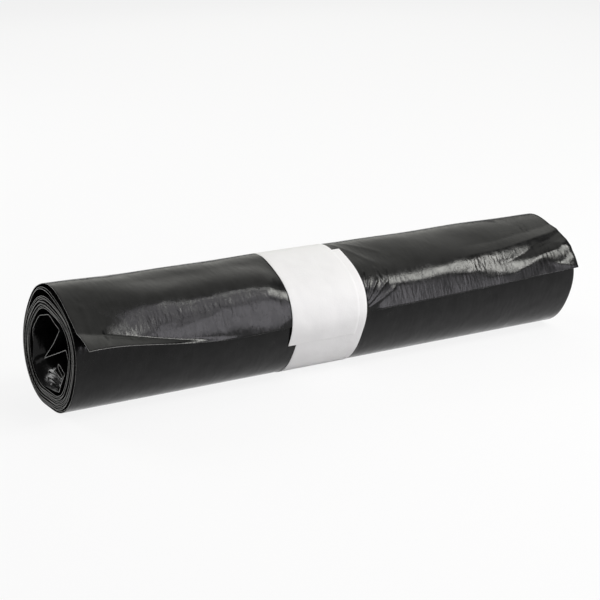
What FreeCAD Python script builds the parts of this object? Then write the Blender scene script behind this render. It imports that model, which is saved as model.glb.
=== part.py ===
import FreeCAD, Part

import math
import os

# A coreless roll of bin bags, held by a paper band
#
# The bags are one long web of folded film, wound into a soft roll that has sagged a little out of round and
# has a flat where it lies. The outer turns stand off the inner ones at the top, the first turns have crumpled
# into the hollow, and the free edge of the last turn lifts at both ends. A strip of paper goes round the
# middle once and a quarter, pressed into the film, and is stuck to itself.
#
# Millimetres: X along the roll, Y to the back, Z up. The origin is the middle of the flat that it lies on.
# Angles in the section run from the back (0) over the top (90) to the front (180) and the bottom (270).

SIZES = {
    "roll_length": 350.0,
    "roll_diameter": 76.0,
    "flat_sink": 1.12,
    "oval_swell": 2.2,
    "oval_angle": -23.0,
    "egg_swell": 0.7,
    "egg_angle": -41.0,
    "square_swell": 1.0,
    "square_angle": -23.0,
    "corner_swell": 0.4,
    "corner_angle": 14.0,
    "film_wall": 0.75,
    "film_gap": 0.2,
    "outer_turns": 3,
    "inner_turns": 8,
    "slack_gap": 3.2,
    "slack_angle": 80.0,
    "slack_spread": 75.0,
    "crease_radius": 0.9,
    "bend_radius": 7.0,
    "free_edge_angle": 174.4,
    "free_edge_skew": 0.036,
    "free_edge_wall": 0.4,
    "lift_angle": 70.0,
    "near_lift_reach": 110.0,
    "near_bulge_lift": 4.0,
    "near_bulge_angle": 112.0,
    "near_bulge_spread": 42.0,
    "near_crease_lift": 6.5,
    "near_crease_width": 10.5,
    "near_corner_lift": 19.2,
    "near_corner_turn": 15.5,
    "far_lift_reach": 107.0,
    "far_ridge_width": 27.0,
    "far_corner_lift": 3.4,
    "far_corner_turn": 1.5,
    "paper_wall": 0.25,
    "paper_width": 46.5,
    "paper_middle": -13.0,
    "paper_start_angle": 101.0,
    "paper_wrap_angle": 454.0,
    "paper_skew": 5.6,
    "paper_clearance": 0.1,
}

# Where the first turns are creased in the hollow: angle, and share of the way out to the innermost turn
CREASES = [
    (163, 0.90), (316, 0.26), (138, 0.92), (94, 0.93), (56, 0.93), (16, 0.93), (335, 0.94),
    (300, 0.94), (257, 0.90), (236, 0.93), (196, 0.90), (307, 0.46), (304, 0.54), (215, 0.75),
    (221, 0.78), (281, 0.63), (280, 0.72), (231, 0.77), (236, 0.82), (261, 0.79),
]

# Most degrees round the roll that one arc of an outline spans
ARC = 30.0
# Degrees over which the film thins to its free edge, and over which the paper climbs an edge that it crosses
EDGE_TAPER = 14.0
CLIMB = 20.0
# Degrees by which the paper's seat in the film runs past the paper's start
SEAT_MARGIN = 1.0
# Degrees of turn past which a bend of the film is a sharp crease
SHARP = 75.0
# Steps round the loose flap to its fold and on to its edge, two to an arc, and sections along a stretch of it
FLAP_COUNT = 12
FLARE_COUNT = 4
LIFTED_COUNT = 5
FLUSH_COUNT = 2


def make_sheet(doc):
    """The driving dimensions, one named cell each."""
    sheet = doc.addObject("Spreadsheet::Sheet", "Sizes")
    for row, (alias, value) in enumerate(SIZES.items(), start=1):
        sheet.set(f"A{row}", alias)
        sheet.set(f"B{row}", str(value))
        sheet.setAlias(f"B{row}", alias)
    doc.recompute()
    return sheet


doc = FreeCAD.newDocument("BagRoll")
sizes = make_sheet(doc)
pitch = sizes.film_wall + sizes.film_gap
half_length = sizes.roll_length / 2
# The angle at which the wound turns end and the crumpled ones begin
WEB_END = sizes.free_edge_angle - 360 * (sizes.outer_turns + sizes.inner_turns)


def ease(share):
    """0 to 1 with a level start and end."""
    share = min(1.0, max(0.0, share))
    return share * share * (3 - 2 * share)


def hump(off, spread):
    """1 in the middle, down to 0 at the spread to each side."""
    return math.cos(math.pi / 2 * min(1.0, abs(off) / spread)) ** 2


def place(radius, angle, x=0.0):
    """The point at a radius and an angle about the roll's axis."""
    return FreeCAD.Vector(
        x,
        radius * math.cos(math.radians(angle)),
        radius * math.sin(math.radians(angle)) + rest_height,
    )


def sagged(angle):
    """Radius of the sagged section at the outside of the last turn, but for the flat below."""
    return (
        sizes.roll_diameter / 2
        + sizes.oval_swell * math.cos(math.radians(2 * (angle - sizes.oval_angle)))
        + sizes.egg_swell * math.cos(math.radians(3 * (angle - sizes.egg_angle)))
        + sizes.square_swell * math.cos(math.radians(4 * (angle - sizes.square_angle)))
        + sizes.corner_swell * math.cos(math.radians(5 * (angle - sizes.corner_angle)))
    )


# Height of the roll's axis over what it lies on
rest_height = sagged(270) - sizes.flat_sink


def web_outside(angle):
    """Outer radius of the web, at an angle that runs on down from the free edge, turn after turn inwards."""
    back = sizes.free_edge_angle - angle
    radius = sagged(angle) - pitch * back / 360
    if back > 360 * sizes.outer_turns:
        off = (angle - sizes.slack_angle + 180) % 360 - 180
        radius -= sizes.slack_gap * hump(off, sizes.slack_spread)
    return radius


def web_inside(angle):
    """Inner radius of the web, one wall further in."""
    return web_outside(angle) - sizes.film_wall


def web_depth(bottom):
    """How deep below the axis the outside of the turn lies that passes a bottom angle."""
    turns_in = (270 - 360 - bottom) / 360
    return rest_height - pitch * turns_in


def arcs(points):
    """Arcs through the points, three at a time."""
    return [Part.Arc(*points[i:i + 3]).toShape() for i in range(0, len(points) - 2, 2)]


def straight(start, stop):
    """One straight edge."""
    return Part.LineSegment(start, stop).toShape()


def flat_corner(bottom, way, radius_at, depth):
    """The angle at which a side leaves the flat under it, on one side of the bottom."""
    low = 0.0
    high = 60.0
    while high - low > 1e-9:
        off = (low + high) / 2
        if radius_at(bottom + way * off) * math.cos(math.radians(off)) > depth:
            low = off
        else:
            high = off
    return bottom + way * low


def wound_side(start, stop, radius_at, depth_at, x_at=lambda angle: 0.0):
    """Edges of one side of what is wound: arcs round the roll, and straight along the flat that it lies on."""
    way = math.copysign(1.0, stop - start)

    def point_at(angle):
        return place(radius_at(angle), angle, x_at(angle))

    def bend(begin, end):
        count = math.ceil(abs(end - begin) / ARC)
        return arcs([point_at(begin + (end - begin) * i / (2 * count)) for i in range(2 * count + 1)])

    edges = []
    here = start
    turn = math.ceil(way * (start - 270) / 360)
    bottom = 270 + way * 360 * turn
    while way * bottom < way * stop:
        depth = depth_at(bottom)
        corner_in = flat_corner(bottom, -way, radius_at, depth)
        corner_out = flat_corner(bottom, way, radius_at, depth)
        edges += bend(here, corner_in)
        edges.append(straight(point_at(corner_in), point_at(corner_out)))
        here = corner_out
        bottom += way * 360
    edges += bend(here, stop)
    return edges


def crumpled_path():
    """The middle of the web through its creases, from the innermost turn to its start in the hollow."""
    start = place(web_inside(WEB_END) + sizes.film_wall / 2, WEB_END)
    along = place(1.0, WEB_END - 90) - place(0.0, 0.0)
    path = [start, start + along * 3 * sizes.crease_radius]
    for angle, share in CREASES:
        path.append(place(web_inside(WEB_END - sizes.free_edge_angle + angle) * share, angle))
    return path


def beside(path, offset):
    """Edges beside a path of straight runs and tangent bends, an offset to the left of the way along it."""
    edges = []
    here = path[0]
    for before, corner, after in zip(path, path[1:], path[2:]):
        way_in = (corner - before).normalize()
        way_out = (after - corner).normalize()
        left_in = FreeCAD.Vector(0, -way_in.z, way_in.y)
        left_out = FreeCAD.Vector(0, -way_out.z, way_out.y)
        turn = math.atan2(way_in.y * way_out.z - way_in.z * way_out.y, way_in.dot(way_out))
        half_tangent = math.tan(abs(turn) / 2)
        shorter = min(before.distanceToPoint(corner), corner.distanceToPoint(after))
        largest = sizes.crease_radius if abs(math.degrees(turn)) > SHARP else sizes.bend_radius
        radius = min(largest, 0.45 * shorter / half_tangent)
        side = math.copysign(1.0, turn)
        bend_start = corner - way_in * radius * half_tangent
        bend_stop = corner + way_out * radius * half_tangent
        centre = bend_start + left_in * radius * side
        middle = centre + (corner - centre).normalize() * (radius - side * offset)
        edges.append(straight(here + left_in * offset, bend_start + left_in * offset))
        edges.append(
            Part.Arc(bend_start + left_in * offset, middle, bend_stop + left_out * offset).toShape()
        )
        here = bend_stop
    edges.append(straight(here + left_out * offset, path[-1] + left_out * offset))
    return edges


def web_section():
    """The face of the wound and crumpled web across the roll, without the loose flap."""
    outer_side = wound_side(sizes.lift_angle, WEB_END, web_outside, web_depth)
    inner_side = wound_side(
        sizes.lift_angle, WEB_END, web_inside, lambda bottom: web_depth(bottom) - sizes.film_wall
    )
    path = crumpled_path()
    left = beside(path, sizes.film_wall / 2)
    right = beside(path, -sizes.film_wall / 2)
    root = straight(outer_side[0].firstVertex().Point, inner_side[0].firstVertex().Point)
    tip = straight(left[-1].lastVertex().Point, right[-1].lastVertex().Point)
    edges = [root] + outer_side + inner_side + left + right + [tip]
    return Part.Face(Part.Wire(Part.__sortEdges__(edges)))


def free_edge(x):
    """Angle of the free edge where the flap lies flush: the web is wound a little askew."""
    return sizes.free_edge_angle - sizes.free_edge_skew * x


def flush_radius(angle):
    """Outer radius of the last turn where it lies on the turn below."""
    return sagged(angle) - pitch * (sizes.free_edge_angle - angle) / 360


def near_flap(x):
    """Angles of the crease and the edge of the near end's lifted flap, and its lift at an angle."""
    rest = max(0.0, 1 - (x + half_length) / sizes.near_lift_reach)
    edge = free_edge(x) - sizes.near_corner_turn * hump(1 - rest, 1)
    crease = edge - sizes.near_crease_width * rest ** 4

    def lift_at(angle):
        if angle > crease:
            flare = (angle - crease) / (edge - crease)
            lift = sizes.near_crease_lift + (sizes.near_corner_lift - sizes.near_crease_lift) * flare
        else:
            rise = (angle - sizes.lift_angle) / (crease - sizes.lift_angle)
            bulge = hump(angle - sizes.near_bulge_angle, sizes.near_bulge_spread)
            lift = sizes.near_crease_lift * rise ** 5 + sizes.near_bulge_lift * bulge
        return lift * rest ** 2

    return crease, edge, lift_at


def far_flap(x):
    """Angles of the ridge and the edge of the far end's lifted flap, and its lift at an angle."""
    rest = max(0.0, 1 - (half_length - x) / sizes.far_lift_reach)
    edge = free_edge(x) - sizes.far_corner_turn * hump(1 - rest, 1)
    ridge = edge - sizes.far_ridge_width * rest

    def lift_at(angle):
        if angle <= ridge:
            return 0.0
        return sizes.far_corner_lift * (angle - ridge) / (edge - ridge) * rest ** 2

    return ridge, edge, lift_at


def flush_flap(x):
    """The same for the flap where it lies on the turn below, with no fold short of its edge."""
    return free_edge(x), free_edge(x), lambda angle: 0.0


def flap_section(x, shape):
    """Closed outline of the flap at one place along the roll."""
    fold, edge, lift_at = shape(x)
    fold = min(fold, edge - EDGE_TAPER)
    angles = [sizes.lift_angle + (fold - sizes.lift_angle) * i / FLAP_COUNT for i in range(FLAP_COUNT)]
    angles += [fold + (edge - fold) * i / FLARE_COUNT for i in range(FLARE_COUNT + 1)]
    outer = []
    walls = []
    for angle in angles:
        thinned = (sizes.film_wall - sizes.free_edge_wall) * ease(1 - (edge - angle) / EDGE_TAPER)
        outer.append(place(flush_radius(angle) + lift_at(angle) - thinned, angle, x))
        walls.append(sizes.film_wall - thinned)
    inner = [place(flush_radius(sizes.lift_angle) - sizes.film_wall, sizes.lift_angle, x)]
    for before, here, after, wall in zip(outer, outer[1:], outer[2:] + outer[-1:], walls[1:]):
        along = (after - before).normalize()
        inner.append(here + FreeCAD.Vector(0, -along.z, along.y) * wall)
    end = straight(outer[-1], inner[-1])
    root = straight(inner[0], outer[0])
    return Part.Wire(arcs(outer) + [end] + arcs(inner[::-1]) + [root])


def flap_stretch(name, start, stop, count, shape):
    """A length of the flap, lofted through sections along the roll."""
    sections = []
    for i in range(count):
        section = doc.addObject("Part::Feature", f"{name}Section")
        section.Shape = flap_section(start + (stop - start) * i / (count - 1), shape)
        sections.append(section)
    loft = doc.addObject("Part::Loft", name)
    loft.Sections = sections
    loft.Solid = True
    loft.Ruled = True
    return loft


def paper_inside(angle):
    """Inner radius of the paper: pressed into the film, bridging the step at the free edge, and lapped."""
    back = (free_edge(sizes.paper_middle) - angle) % 360
    bridging = ease((back - 360 + CLIMB) / CLIMB)
    lap = sizes.paper_start_angle + 360
    lapping = ease((angle - lap + CLIMB) / CLIMB)
    return (
        sagged(angle)
        - pitch * back / 360 * (1 - bridging)
        - sizes.paper_wall
        + lapping * (sizes.paper_wall + sizes.paper_clearance)
    )


def between(first, second):
    """The face between two edges of the strip: plane on the flat, and ruled round the roll."""
    corners = [first.firstVertex().Point, first.lastVertex().Point]
    corners += [second.lastVertex().Point, second.firstVertex().Point]
    outline = Part.makePolygon(corners + corners[:1])
    if isinstance(first.Curve, Part.Line) and outline.findPlane():
        return Part.Face(outline)
    return Part.makeLoft([Part.Wire([first]), Part.Wire([second])], False, True).Faces[0]


def paper_strip(begin, end, grow, wall):
    """A strip wound round the roll between two angles, grown by a margin under it and at its edges."""

    def rail(outward, sideways):
        def x_at(angle):
            turned = (angle - sizes.paper_start_angle) / 360 - 0.5
            middle = sizes.paper_middle - sizes.paper_skew * turned
            return middle + sideways * (sizes.paper_width / 2 + grow)

        return wound_side(
            begin,
            end,
            lambda angle: paper_inside(angle) + outward,
            lambda bottom: rest_height - sizes.paper_wall + outward,
            x_at,
        )

    rails = [rail(-grow, -1), rail(-grow, 1), rail(wall, 1), rail(wall, -1)]
    faces = []
    for one, other in zip(rails, rails[1:] + rails[:1]):
        faces += [between(first, second) for first, second in zip(one, other)]
    starts = [side[0].firstVertex().Point for side in rails]
    ends = [side[-1].lastVertex().Point for side in rails]
    for corners in (starts, ends):
        faces.append(Part.Face(Part.makePolygon(corners + corners[:1])))
    shell = Part.makeShell(faces)
    shell.sewShape()
    return Part.Solid(shell)


def make_bag_roll():
    """The whole web of bags as one solid: turns, crumpled start, loose flap, the paper's seat and the flat."""
    section = doc.addObject("Part::Feature", "WebSection")
    section.Shape = web_section()
    turns = doc.addObject("Part::Extrusion", "Turns")
    turns.Base = section
    turns.Dir = (1, 0, 0)
    turns.setExpression("LengthFwd", "Sizes.roll_length / 2")
    turns.setExpression("LengthRev", "Sizes.roll_length / 2")
    turns.Solid = True
    near_flush = -half_length + sizes.near_lift_reach
    far_flush = half_length - sizes.far_lift_reach
    flap = [
        flap_stretch("NearFlap", -half_length, near_flush, LIFTED_COUNT, near_flap),
        flap_stretch("MiddleFlap", near_flush, far_flush, FLUSH_COUNT, flush_flap),
        flap_stretch("FarFlap", far_flush, half_length, LIFTED_COUNT, far_flap),
    ]
    web = doc.addObject("Part::MultiFuse", "Web")
    web.Shapes = [turns] + flap
    seat = doc.addObject("Part::Feature", "PaperSeat")
    seat.Shape = paper_strip(
        sizes.paper_start_angle - SEAT_MARGIN,
        sizes.paper_start_angle + 360 - 2 * SEAT_MARGIN,
        sizes.paper_clearance,
        2 * sizes.film_wall,
    )
    pressed = doc.addObject("Part::Cut", "PressedWeb")
    pressed.Base = web
    pressed.Tool = seat
    return pressed


def make_paper_band():
    """The strip of paper round the middle, lapped over its own start."""
    strip = doc.addObject("Part::Feature", "PaperStrip")
    end = sizes.paper_start_angle + sizes.paper_wrap_angle
    strip.Shape = paper_strip(sizes.paper_start_angle, end, 0.0, sizes.paper_wall)
    return strip


parts = {"bag_roll": make_bag_roll(), "paper_band": make_paper_band()}
for label, part in parts.items():
    part.Label = label
doc.recompute()

for item in doc.Objects:
    if "Invalid" in item.State or "Error" in item.State:
        raise RuntimeError(f"{item.Label} did not build: {item.State}")

os.makedirs("parts", exist_ok=True)
for label, part in parts.items():
    shape = part.Shape
    if shape.isNull() or not shape.isValid():
        raise RuntimeError(f"{label} has no valid shape")
    print(label, "solids", len(shape.Solids), "volume", round(shape.Volume), shape.BoundBox)
    shape.exportStep(f"parts/{label}.step")
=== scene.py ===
import math

import bpy
import numpy as np
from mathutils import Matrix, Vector


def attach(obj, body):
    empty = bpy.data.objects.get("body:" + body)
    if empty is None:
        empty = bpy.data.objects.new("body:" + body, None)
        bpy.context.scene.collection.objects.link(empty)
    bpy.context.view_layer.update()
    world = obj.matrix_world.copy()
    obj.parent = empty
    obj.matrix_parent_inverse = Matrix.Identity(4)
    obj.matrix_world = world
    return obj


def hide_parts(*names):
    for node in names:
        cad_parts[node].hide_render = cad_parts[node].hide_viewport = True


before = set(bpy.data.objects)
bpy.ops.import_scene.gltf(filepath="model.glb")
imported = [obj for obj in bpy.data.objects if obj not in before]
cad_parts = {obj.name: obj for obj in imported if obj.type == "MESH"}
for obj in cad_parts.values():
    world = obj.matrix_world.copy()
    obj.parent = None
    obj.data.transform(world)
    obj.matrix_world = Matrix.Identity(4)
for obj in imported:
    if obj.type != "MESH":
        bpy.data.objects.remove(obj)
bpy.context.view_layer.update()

# The wound turns: one long web of folded black film, rolled up tight without a core.
# The first turns have crumpled into the hollow, and the ones above them have slipped
# down from the outer turns, which leaves a dark crescent at the top of each end.
HALF_LENGTH = 0.175
AXIS_HEIGHT = 0.03435
FILM_WALL = 0.00034
TURN_PITCH = 0.00095
OUTER_TURNS = 3
INNER_TURNS = 8
WOUND_DEGREES = 360 * (OUTER_TURNS + INNER_TURNS)
# All angles about the axis are in degrees, from the back over the top to the front
FREE_EDGE_ANGLE = 174.4
SLACK_ANGLE = 80.0
SLACK_SPREAD = 75.0
SLACK_GAP = 0.0032
# The sagged section: its mean radius, and the height, number and turn of each set of lobes, in mm
MEAN_RADIUS = 38
LOBES = [(2.2, 2, 23), (0.7, 3, 41), (1.0, 4, 23), (0.4, 5, -14)]
FLAT_SOFTNESS = 0.0003
# How far round from the free edge the wound turns begin, and the step between their points
SEAM_TURN = 384.0
TURN_STEP = 5.0
# Millimetres from the near end of each row of points
TURN_COLUMNS = np.array([
    0, 1.5, 4, 8, 14, 22, 34, 50, 75, 110, 175, 240, 275, 300, 316, 328, 336, 342, 346, 348.5, 350,
])
# Angle and share of the hollow's radius of each crease of the first turns
CREASES = np.array([
    (163, 0.90), (316, 0.26), (138, 0.92), (94, 0.93), (56, 0.93), (16, 0.93), (335, 0.94),
    (300, 0.94), (257, 0.90), (236, 0.93), (196, 0.90), (192, 0.50), (206, 0.52), (205, 0.82),
    (211, 0.84), (222, 0.46), (236, 0.44), (215, 0.83), (219, 0.86), (246, 0.50), (281, 0.44),
    (280, 0.52), (248, 0.60), (226, 0.85), (231, 0.86), (252, 0.68), (283, 0.60), (282, 0.68),
    (256, 0.76), (240, 0.86), (248, 0.84), (272, 0.78),
])
# How far the creases swing to and fro along the roll, and the runs of the swing round and along
CREASE_SWING = 5.0
SWING_RUNS = (2, 29)
CRUMPLE_POINTS = 420
CRUMPLE_SOFTENING = 3
# Deeper in, the creases at the bottom of the hollow stand further up
RISE_SHARE = 0.40
RISE_UNEVENNESS = 0.35
RISE_RUNS = (7, 60)
RISE_DEPTH = 0.006
RISE_ANGLE = 275
RISE_SPREAD = 130
# Height and run of each wave along the cut ends
TRIM_WAVES = [(0.0004, 0.13), (0.0003, 0.031)]
# The rims of a sheet: their rounding as a share of the wall, and the angles that count as corners
ROUNDING_SHARE = 0.35
ROUNDING_ANGLE = 60
SMOOTH_ANGLE = 50
# Scales of the film's ripple, along the roll and across it, and of its slack and haze
RIPPLE_SCALES = (500, 150, 150)
SLACK_SCALE = 55
HAZE_SCALE = 170


def hump(off, spread):
    """1 in the middle, down to 0 at the spread to each side."""
    return np.cos(math.pi / 2 * np.minimum(1, np.abs(off) / spread)) ** 2


def ease(share):
    """0 to 1 with a level start and end."""
    share = np.clip(share, 0, 1)
    return share * share * (3 - 2 * share)


def turned(angle, middle):
    """Degrees from the middle, the shorter way round."""
    return (angle - middle + 180) % 360 - 180


def sagged(angle):
    """Radius of the sagged section outside the last turn."""
    radius = MEAN_RADIUS
    for height, number, turn in LOBES:
        radius = radius + height * np.cos(np.radians(number * (angle + turn)))
    return 0.001 * radius


def resting(radius, angle):
    """Y and Z of the film at a radius and an angle, laid flat where the roll rests."""
    turns_in = np.round((-90 - angle) / 360)
    floor = TURN_PITCH * np.maximum(turns_in, 0) + FILM_WALL / 2
    y = radius * np.cos(np.radians(angle))
    z = radius * np.sin(np.radians(angle)) + AXIS_HEIGHT - floor
    return y, floor + (z + np.sqrt(z * z + FLAT_SOFTNESS**2)) / 2


def web_radius(angle):
    """Radius of the middle of the film, turn after turn inwards from the free edge."""
    back = FREE_EDGE_ANGLE - angle
    slack = SLACK_GAP * hump(turned(angle, SLACK_ANGLE), SLACK_SPREAD) * (back > 360 * OUTER_TURNS)
    return sagged(angle) - FILM_WALL / 2 - TURN_PITCH * back / 360 - slack


def crumpled(x, wound_y, wound_z):
    """Y and Z of the first turns at one place along the roll, from the wound turns inwards."""
    turn = np.radians(CREASES[:, 0])
    deep = 1 - np.exp((abs(x) - HALF_LENGTH) / RISE_DEPTH)
    rise = RISE_SHARE * hump(turned(CREASES[:, 0], RISE_ANGLE), RISE_SPREAD)
    rise = rise * (1 + RISE_UNEVENNESS * np.sin(RISE_RUNS[0] * turn + RISE_RUNS[1] * x))
    share = CREASES[:, 1] * (1 - deep * rise)
    swing = CREASE_SWING * np.sin(SWING_RUNS[1] * x + SWING_RUNS[0] * turn)
    angle = CREASES[:, 0] + swing * (1 - CREASES[:, 1])
    radius = web_radius(angle - WOUND_DEGREES) * share
    y = np.concatenate(([wound_y], radius * np.cos(np.radians(angle))))
    z = np.concatenate(([wound_z], radius * np.sin(np.radians(angle)) + AXIS_HEIGHT))
    run = np.concatenate(([0], np.cumsum(np.hypot(np.diff(y), np.diff(z)))))
    at = np.linspace(0, run[-1], CRUMPLE_POINTS)
    y = np.interp(at, run, y)
    z = np.interp(at, run, z)
    for _ in range(CRUMPLE_SOFTENING):
        y[1:-1] = (y[:-2] + 2 * y[1:-1] + y[2:]) / 4
        z[1:-1] = (z[:-2] + 2 * z[1:-1] + z[2:]) / 4
    return y, z


def film_sheet(name, along, across):
    """A flat sheet with a number of cells round the roll and along it."""
    bpy.ops.object.select_all(action="DESELECT")
    bpy.ops.mesh.primitive_grid_add(x_subdivisions=along, y_subdivisions=across, size=2)
    sheet = bpy.context.object
    sheet.name = name
    return sheet


def wind(sheet, points):
    """Moves a flat sheet's points to their places: points[across][along] = (x, y, z)."""
    sheet.data.vertices.foreach_set("co", np.asarray(points, np.float32).ravel())
    sheet.data.update()


def thicken(sheet, wall):
    """Gives the sheet its wall, half to each side, with the cut rims in its second material."""
    solidify = sheet.modifiers.new("wall", "SOLIDIFY")
    solidify.thickness = wall
    solidify.offset = 0
    solidify.use_even_offset = False
    solidify.material_offset_rim = 1
    bpy.context.view_layer.objects.active = sheet
    bpy.ops.object.modifier_apply(modifier=solidify.name)
    rounding = sheet.modifiers.new("rounding", "BEVEL")
    rounding.limit_method = "ANGLE"
    rounding.angle_limit = math.radians(ROUNDING_ANGLE)
    rounding.width = wall * ROUNDING_SHARE
    rounding.segments = 2
    bpy.ops.object.modifier_apply(modifier=rounding.name)
    bpy.ops.object.mode_set(mode="EDIT")
    bpy.ops.mesh.select_all(action="SELECT")
    bpy.ops.mesh.normals_make_consistent(inside=False)
    bpy.ops.object.mode_set(mode="OBJECT")
    bpy.ops.object.shade_smooth_by_angle(angle=math.radians(SMOOTH_ANGLE))


def new_finish(name):
    """A new material, with its nodes, its links and its shader's inputs."""
    material = bpy.data.materials.new(name)
    material.use_nodes = True
    tree = material.node_tree
    return material, tree.nodes, tree.links, tree.nodes["Principled BSDF"].inputs


def grain(nodes, links, place, scale, detail):
    """A fine irregular pattern that stays with the piece."""
    pattern = nodes.new("ShaderNodeTexNoise")
    pattern.inputs["Scale"].default_value = scale
    pattern.inputs["Detail"].default_value = detail
    links.new(place, pattern.inputs["Vector"])
    return pattern.outputs["Fac"]


def relief(nodes, links, pattern, depth):
    """Raises a pattern on the surface by a depth in metres."""
    bump = nodes.new("ShaderNodeBump")
    bump.inputs["Strength"].default_value = 1.0
    bump.inputs["Distance"].default_value = depth
    links.new(pattern, bump.inputs["Height"])
    return bump


def between(nodes, links, pattern, pattern_range, value_range):
    """Spreads a pattern's range over a range of values."""
    spread = nodes.new("ShaderNodeMapRange")
    spread.inputs["From Min"].default_value, spread.inputs["From Max"].default_value = pattern_range
    spread.inputs["To Min"].default_value, spread.inputs["To Max"].default_value = value_range
    links.new(pattern, spread.inputs["Value"])
    return spread.outputs["Result"]


turn_angles = FREE_EDGE_ANGLE - np.arange(SEAM_TURN, WOUND_DEGREES + 1, TURN_STEP)
rows = []
for x in TURN_COLUMNS / 1000 - HALF_LENGTH:
    y, z = resting(web_radius(turn_angles), turn_angles)
    crumpled_y, crumpled_z = crumpled(x, y[-1], z[-1])
    y = np.concatenate((y, crumpled_y[1:]))
    z = np.concatenate((z, crumpled_z[1:]))
    trim = sum(height * np.sin(np.arange(len(y)) * run) for height, run in TRIM_WAVES)
    at_end = abs(x) > HALF_LENGTH - 1e-6
    rows.append(np.stack((x + trim * at_end, y, z), axis=1))

black_film, film_nodes, film_links, film_inputs = new_finish("black_film")
film_inputs["IOR"].default_value = 1.5
film_inputs["Specular IOR Level"].default_value = 0.18
film_place = film_nodes.new("ShaderNodeTexCoord").outputs["Object"]
film_stretch = film_nodes.new("ShaderNodeMapping")
film_stretch.inputs["Scale"].default_value = RIPPLE_SCALES
film_links.new(film_place, film_stretch.inputs["Vector"])
film_ripple = grain(film_nodes, film_links, film_stretch.outputs["Vector"], 1, 3)
film_slack = grain(film_nodes, film_links, film_place, SLACK_SCALE, 1)
film_haze = grain(film_nodes, film_links, film_place, HAZE_SCALE, 8)
film_bump = relief(film_nodes, film_links, film_ripple, 0.00018)
film_wave = relief(film_nodes, film_links, film_slack, 0.0006)
film_links.new(film_bump.outputs["Normal"], film_wave.inputs["Normal"])
film_links.new(film_wave.outputs["Normal"], film_inputs["Normal"])
film_sheen = between(film_nodes, film_links, film_haze, (0.35, 0.65), (0.15, 0.24))
film_links.new(film_sheen, film_inputs["Roughness"])
film_dust = between(film_nodes, film_links, film_haze, (0.30, 0.80), (0.003, 0.008))
film_links.new(film_dust, film_inputs["Base Color"])

# The film's cut rims: a grey base colour that is a painted highlight along the edges of the black
# film.
rim_painted_highlight, _, _, rim_highlight_inputs = new_finish("rim_painted_highlight")
rim_highlight_inputs["Base Color"].default_value = (0.27, 0.27, 0.26, 1)
rim_highlight_inputs["Roughness"].default_value = 0.5

wound_turns = film_sheet("wound_turns", len(rows[0]) - 1, len(rows) - 1)
wind(wound_turns, rows)
wound_turns.data.materials.append(black_film)
wound_turns.data.materials.append(rim_painted_highlight)
thicken(wound_turns, FILM_WALL)
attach(wound_turns, "root")
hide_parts("bag_roll")

# The last turn: the outermost film with the free edge of the last bag on the front.
# Its loose flap has sprung up at both ends, creased by handling, and lies flat under
# the paper.
FREE_EDGE_SKEW = 36.0
FLAP_RADIUS = 0.038
FLAP_ROOT_ANGLE = 70.0
# Where the paper holds the film down, and over how much beside it the film comes up
PAPER_MIDDLE = -0.013
PAPER_LEFT = -0.036
PAPER_RIGHT = 0.012
PAPER_EASE = 0.015
# How far along the roll the flap is loose, and how far its corners have drawn back, in degrees
NEAR_REACH = 0.110
FAR_REACH = 0.107
NEAR_DRAW = 15.5
FAR_DRAW = 1.5
# The near corner: a crease beside the free edge, the lift there and at the corner's tip, and
# the low dome behind it
CREASE_BACK = 2.5
CREASE_SPREAD = 9
CREASE_LIFT = 0.0065
TIP_LIFT = 0.0192
DOME_LIFT = 0.004
DOME_ANGLE = 112
DOME_SPREAD = 42
# The slack belly between the near corner and the paper
BELLY_LIFT = 0.0022
BELLY_START = 0.010
BELLY_EASE = 0.050
BELLY_ANGLE = 131
BELLY_SPREAD = 29
# The slight curl of the free edge between the corners and the paper
CURL_LIFT = 0.0012
CURL_SPREAD = 14
# The far corner: its lift past the lower ridge, and the height and width of its two ridges
FAR_LIFT = 0.0034
RIDGE_CLEARANCE = 6
RIDGE_SPREAD = 12
RIDGE_REACH = 0.6
LOWER_RIDGE_HEIGHT = 0.0015
UPPER_RIDGE_HEIGHT = 0.0012
# Millimetres from the near end, and the angle there, of the two ridges
LOWER_RIDGE = [
    (227, 184), (250, 180), (266, 177), (282, 172.5), (294, 165), (312, 158), (326, 150),
    (339, 147), (350, 139),
]
UPPER_RIDGE = [(200, 146), (272, 139), (297, 138), (323, 132), (341, 127), (350, 123)]
# Slow waves of the whole flap: height, run along and round the roll, and start
SLUMPS = [(0.0005, 43, 2.0, 0), (0.0003, 91, -3.0, 1.7)]
SLUMP_SPREAD = 70
SLUMP_CLEARANCE = 0.04
# Millimetres from the near end, and how many of the sheet's columns lie short of each
COLUMN_PLACES = [0, 20, 130, 183, 216, 350]
COLUMN_COUNTS = [0, 14, 68, 98, 146, 210]
# Shares of the way from the free edge, and how many of the sheet's rows lie short of each
ROW_SHARES = [0, 0.12, 0.30, 1]
ROW_COUNTS = [0, 44, 84, 150]
# A fold's side falls off at this rate and ends at this many half widths
FOLD_FALL = 1.5
FOLD_FOOT = 2.5
# Folds: from and to as millimetres from the near end and degrees up the front, height and half
# width in mm
FOLDS = [
    (188, 9, 208, 22, 0.60, 0.9), (188, 12, 203, 28, 0.55, 0.8), (188, 16, 198, 32, 0.55, 0.8),
    (188, 21, 194, 37, 0.50, 0.8), (188, 27, 191, 42, 0.45, 0.8), (201, 30, 200, 44, 0.30, 0.8),
    (205, 29, 207, 42, 0.25, 0.8), (186, 92, 202, 52, 0.35, 3.0), (191, 96, 212, 66, 0.25, 3.5),
    (9, 23, 10, 50, 0.35, 1.2), (13, 14, 15, 27, 0.8, 1.4), (7, 12, 12, 22, 0.7, 1.3),
    (24, 12, 30, 20, 0.3, 2.0), (60, 18, 84, 24, 0.25, 3.0), (52, 40, 70, 58, 0.35, 5.0),
    (283, 38, 286, 52, 0.25, 1.5), (291, 40, 293, 50, 0.20, 1.2), (340, 40, 350, 33, 0.5, 2.0),
    (333, 20, 350, 14, 0.5, 1.6),
]


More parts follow.
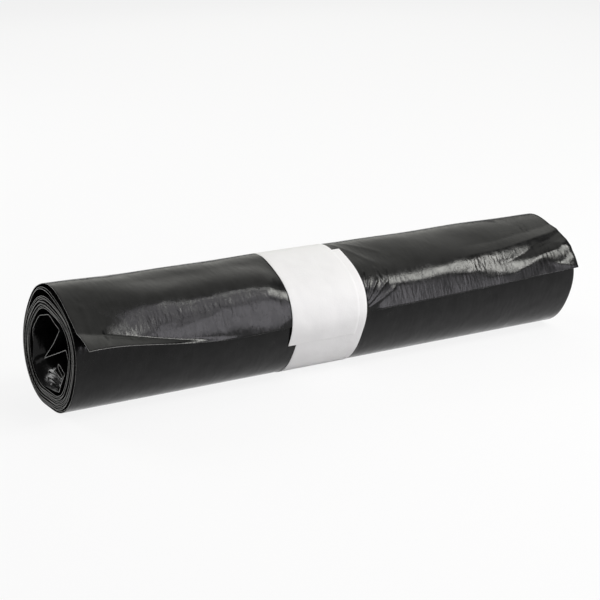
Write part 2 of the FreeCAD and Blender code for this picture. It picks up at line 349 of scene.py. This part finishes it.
def free_edge(x):
    """Angle of the free edge where the flap lies flush: the web is wound a little askew."""
    return FREE_EDGE_ANGLE - FREE_EDGE_SKEW * x


def fold_lift(x, angle, start_x, start_up, stop_x, stop_up, height, half_width):
    """How far a narrow fold stands off the roll, near a line on the unrolled film."""
    along = (np.array([start_x, stop_x]) / 1000) - HALF_LENGTH
    around = FLAP_RADIUS * np.radians(180 - np.array([start_up, stop_up]))
    run_x = along[1] - along[0]
    run_a = around[1] - around[0]
    off_x = x - along[0]
    off_a = FLAP_RADIUS * np.radians(angle) - around[0]
    share = np.clip((off_x * run_x + off_a * run_a) / (run_x**2 + run_a**2), 0, 1)
    off = np.hypot(off_x - share * run_x, off_a - share * run_a) / (half_width / 1000)
    return height / 1000 * np.exp(-off * FOLD_FALL) * np.clip(FOLD_FOOT - off, 0, 1)


def ridge(off, half_width):
    """1 on the line, straight down to 0 at the half width to each side."""
    return np.clip(1 - np.abs(off) / half_width, 0, 1)


from_near = np.interp(np.arange(COLUMN_COUNTS[-1] + 1), COLUMN_COUNTS, COLUMN_PLACES)
x = (from_near / 1000 - HALF_LENGTH)[:, None]
left_of_paper = ease((PAPER_LEFT - x) / PAPER_EASE)
right_of_paper = ease((x - PAPER_RIGHT) / PAPER_EASE)
near_rest = np.clip(1 - (x + HALF_LENGTH) / NEAR_REACH, 0, 1)
far_rest = np.clip(1 - (HALF_LENGTH - x) / FAR_REACH, 0, 1)
edge = free_edge(x) - NEAR_DRAW * hump(1 - near_rest, 1) - FAR_DRAW * hump(1 - far_rest, 1)
share = np.interp(np.arange(ROW_COUNTS[-1] + 1), ROW_COUNTS, ROW_SHARES)[None, :]
angle = edge + (FREE_EDGE_ANGLE - SEAM_TURN - edge) * share
radius = web_radius(angle)

crease = edge - CREASE_BACK - CREASE_SPREAD * near_rest**3
flare = np.clip((angle - crease) / np.maximum(edge - crease, 0.01), 0, 1)
rise = np.clip((angle - FLAP_ROOT_ANGLE) / (crease - FLAP_ROOT_ANGLE), 0, 1)
near_lift = CREASE_LIFT * rise**5 + (TIP_LIFT - CREASE_LIFT) * flare
near_lift = near_lift + DOME_LIFT * hump(angle - DOME_ANGLE, DOME_SPREAD) * (rise > 0)
radius = radius + near_lift * near_rest**2

belly = BELLY_LIFT * ease((x + HALF_LENGTH - BELLY_START) / BELLY_EASE) * left_of_paper
radius = radius + belly * hump(angle - BELLY_ANGLE, BELLY_SPREAD)

curl = right_of_paper * (1 - far_rest**2) + left_of_paper * (1 - near_rest) ** 2
radius = radius + CURL_LIFT * curl * np.clip(1 - (edge - angle) / CURL_SPREAD, 0, 1) ** 2

from_near = (x + HALF_LENGTH) * 1000
lower_ridge = np.minimum(np.interp(from_near, *np.transpose(LOWER_RIDGE)), edge - RIDGE_CLEARANCE)
upper_ridge = np.interp(from_near, *np.transpose(UPPER_RIDGE))
far_lift = FAR_LIFT * np.clip((angle - lower_ridge) / (edge - lower_ridge), 0, 1)
radius = radius + far_lift * far_rest**2
ridge_share = ease(far_rest / RIDGE_REACH)
radius = radius + LOWER_RIDGE_HEIGHT * ridge_share * ridge(angle - lower_ridge, RIDGE_SPREAD)
radius = radius + UPPER_RIDGE_HEIGHT * ridge_share * ridge(angle - upper_ridge, RIDGE_SPREAD)

slump = sum(
    height * np.sin(along * x + np.radians(around * angle) + start)
    for height, along, around, start in SLUMPS
)
held_down = hump(x - PAPER_MIDDLE, SLUMP_CLEARANCE)
radius = radius + slump * hump(angle - DOME_ANGLE, SLUMP_SPREAD) * (1 - held_down)
for fold in FOLDS:
    radius = radius + fold_lift(x, angle, *fold)

y, z = resting(radius, angle)
points = np.stack(np.broadcast_arrays(x, y, z), axis=2)
last_turn = film_sheet("last_turn", ROW_COUNTS[-1], COLUMN_COUNTS[-1])
wind(last_turn, points)
last_turn.data.materials.append(black_film)
last_turn.data.materials.append(rim_painted_highlight)
thicken(last_turn, FILM_WALL)
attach(last_turn, "root")
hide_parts("bag_roll")

# The paper band: a strip of white paper wound round the middle once and a quarter.
# It is pressed into the film and stuck to itself where it laps, a little askew.
PAPER_WALL = 0.00025
PAPER_WIDTH = 0.0465
PAPER_START = 101.0
PAPER_WRAP = 454.0
PAPER_SKEW = 0.0056
PAPER_CLEARANCE = 0.0001
PAPER_CLIMB = 20.0
PAPER_ROWS = 300
PAPER_COLUMNS = 30
FIBRE_SCALE = 900
COCKLE_SCALE = 70

angle = np.linspace(PAPER_START, PAPER_START + PAPER_WRAP, PAPER_ROWS + 1)[None, :]
across = np.linspace(-0.5, 0.5, PAPER_COLUMNS + 1)[:, None]
back = (free_edge(PAPER_MIDDLE) - angle) % 360
bridging = ease((back - 360 + PAPER_CLIMB) / PAPER_CLIMB)
lapping = ease((angle - PAPER_START - 360 + PAPER_CLIMB) / PAPER_CLIMB)
radius = (
    sagged(angle)
    - TURN_PITCH * back / 360 * (1 - bridging)
    + PAPER_WALL / 2
    + lapping * (PAPER_WALL + PAPER_CLEARANCE)
)
x = PAPER_MIDDLE - PAPER_SKEW * ((angle - PAPER_START) / 360 - 0.5) + PAPER_WIDTH * across
y, z = resting(radius, angle % 360 - 360)
points = np.stack(np.broadcast_arrays(x, y, z), axis=2)
paper_sleeve = film_sheet("paper_sleeve", PAPER_ROWS, PAPER_COLUMNS)
wind(paper_sleeve, points)
thicken(paper_sleeve, PAPER_WALL)

white_paper, paper_nodes, paper_links, paper_inputs = new_finish("white_paper")
paper_inputs["Base Color"].default_value = (0.68, 0.68, 0.67, 1)
paper_inputs["Roughness"].default_value = 0.9
paper_inputs["Specular IOR Level"].default_value = 0.3
paper_place = paper_nodes.new("ShaderNodeTexCoord").outputs["Object"]
paper_fibre = grain(paper_nodes, paper_links, paper_place, FIBRE_SCALE, 3)
paper_cockle = grain(paper_nodes, paper_links, paper_place, COCKLE_SCALE, 1)
paper_bump = relief(paper_nodes, paper_links, paper_fibre, 0.00006)
paper_wave = relief(paper_nodes, paper_links, paper_cockle, 0.0007)
paper_links.new(paper_bump.outputs["Normal"], paper_wave.inputs["Normal"])
paper_links.new(paper_wave.outputs["Normal"], paper_inputs["Normal"])
paper_sleeve.data.materials.append(white_paper)
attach(paper_sleeve, "root")
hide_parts("paper_band")

# The table: a plain white sheet, far larger than the view. The roll rests on it with its
# flat spot. It takes the roll's shadow and shows white in the film's gloss.
TABLE_SIZE = 300
TABLE_DROP = 0.0002
TABLE_WHITENESS = 0.86

bpy.ops.object.select_all(action="DESELECT")
bpy.ops.mesh.primitive_plane_add(size=TABLE_SIZE, location=(0, 0, -TABLE_DROP))
table = bpy.context.object
table.name = "table"
bpy.ops.object.transform_apply(location=True, rotation=True, scale=True)
table_white, table_nodes, table_links, table_inputs = new_finish("table_white")
table_inputs["Base Color"].default_value = (0.7, 0.7, 0.7, 1)
table_inputs["Roughness"].default_value = 0.9
table_inputs["Specular IOR Level"].default_value = 0.0
table_glow = table_nodes.new("ShaderNodeEmission")
table_glow.inputs["Color"].default_value = (1, 1, 1, 1)
table_rays = table_nodes.new("ShaderNodeLightPath")
table_seen = table_rays.outputs["Is Camera Ray"]
for ray in ("Is Glossy Ray", "Is Transmission Ray"):
    table_either = table_nodes.new("ShaderNodeMath")
    table_either.operation = "MAXIMUM"
    table_links.new(table_seen, table_either.inputs[0])
    table_links.new(table_rays.outputs[ray], table_either.inputs[1])
    table_seen = table_either.outputs["Value"]
table_share = table_nodes.new("ShaderNodeMath")
table_share.operation = "MULTIPLY"
table_share.inputs[1].default_value = TABLE_WHITENESS
table_links.new(table_seen, table_share.inputs[0])
table_mix = table_nodes.new("ShaderNodeMixShader")
table_links.new(table_share.outputs["Value"], table_mix.inputs["Fac"])
table_links.new(table_nodes["Principled BSDF"].outputs["BSDF"], table_mix.inputs[1])
table_links.new(table_glow.outputs["Emission"], table_mix.inputs[2])
table_links.new(table_mix.outputs["Shader"], table_nodes["Material Output"].inputs["Surface"])
table.data.materials.append(table_white)

# The light: soft boxes in front and at the side, a narrow bright strip above them, a wide
# panel overhead, and two boxes on the left that light the roll's open end.
WORLD_STRENGTH = 0.12

bpy.context.scene.view_settings.view_transform = "Standard"
world = bpy.data.worlds.new("studio")
bpy.context.scene.world = world
world.use_nodes = True
world.node_tree.nodes["Background"].inputs["Color"].default_value = (1, 1, 1, 1)
world.node_tree.nodes["Background"].inputs["Strength"].default_value = WORLD_STRENGTH


def aimed(place, target):
    """The turn of a lamp or a camera that looks from one place at another."""
    return (Vector(target) - Vector(place)).to_track_quat("-Z", "Y").to_euler()


def soft_box(name, place, target, width, height, radiance, colour):
    """A rectangular soft box that shines from one place at another."""
    bpy.ops.object.light_add(type="AREA", location=place)
    box = bpy.context.object
    box.name = name
    box.data.shape = "RECTANGLE"
    box.data.size = width
    box.data.size_y = height
    box.data.energy = radiance * math.pi * width * height
    box.data.color = colour
    box.rotation_euler = aimed(place, target)


soft_box("front_box", (0.55, -1.1, 0.43), (0.55, 0, 0.43), 0.42, 0.76, 5.8, (1, 0.97, 1.04))
soft_box("side_box", (0.37, -0.63, 0.95), (-0.135, 0, 0.06), 0.30, 0.76, 4.6, (1, 0.97, 1.03))
soft_box("small_box", (0.53, -0.43, 1.05), (-0.06, 0, 0.06), 0.16, 0.14, 13.0, (1, 1, 0.97))
soft_box("wide_box", (0.76, -1.15, 0.45), (0.76, 0, 0.45), 0.90, 0.80, 1.9, (1, 0.98, 1.03))
soft_box("strip_box", (0.91, -0.68, 1.03), (0.91, 0, 0.035), 0.30, 0.42, 30.0, (1, 1, 0.95))
soft_box("top_box", (0.88, 0.80, 1.31), (0.88, 0, 0.035), 1.4, 3.2, 1.0, (1, 1, 0.94))
soft_box("end_box", (-0.90, -0.25, 1.08), (-0.175, 0, 0.035), 0.7, 0.7, 1.2, (1, 1, 1))
soft_box("back_box", (-0.59, 1.22, 0.79), (-0.175, 0, 0.035), 0.7, 0.7, 6.0, (1, 1, 1))

# The camera: low in front of the roll and turned toward its left end, so that the open
# hollow, the free edge and the paper band all show.
CAMERA_PLACE = (-0.4750, -0.76825, 0.29345)
CAMERA_AIM = (0, 0, 0.03435)
CAMERA_LENS = 91.28
CAMERA_SENSOR = 36
CAMERA_SHIFT = (-0.0242, 0.0098)

bpy.ops.object.camera_add(location=CAMERA_PLACE)
camera = bpy.context.object
camera.rotation_euler = aimed(CAMERA_PLACE, CAMERA_AIM)
camera.data.lens = CAMERA_LENS
camera.data.sensor_width = CAMERA_SENSOR
camera.data.shift_x, camera.data.shift_y = CAMERA_SHIFT
bpy.context.scene.camera = camera
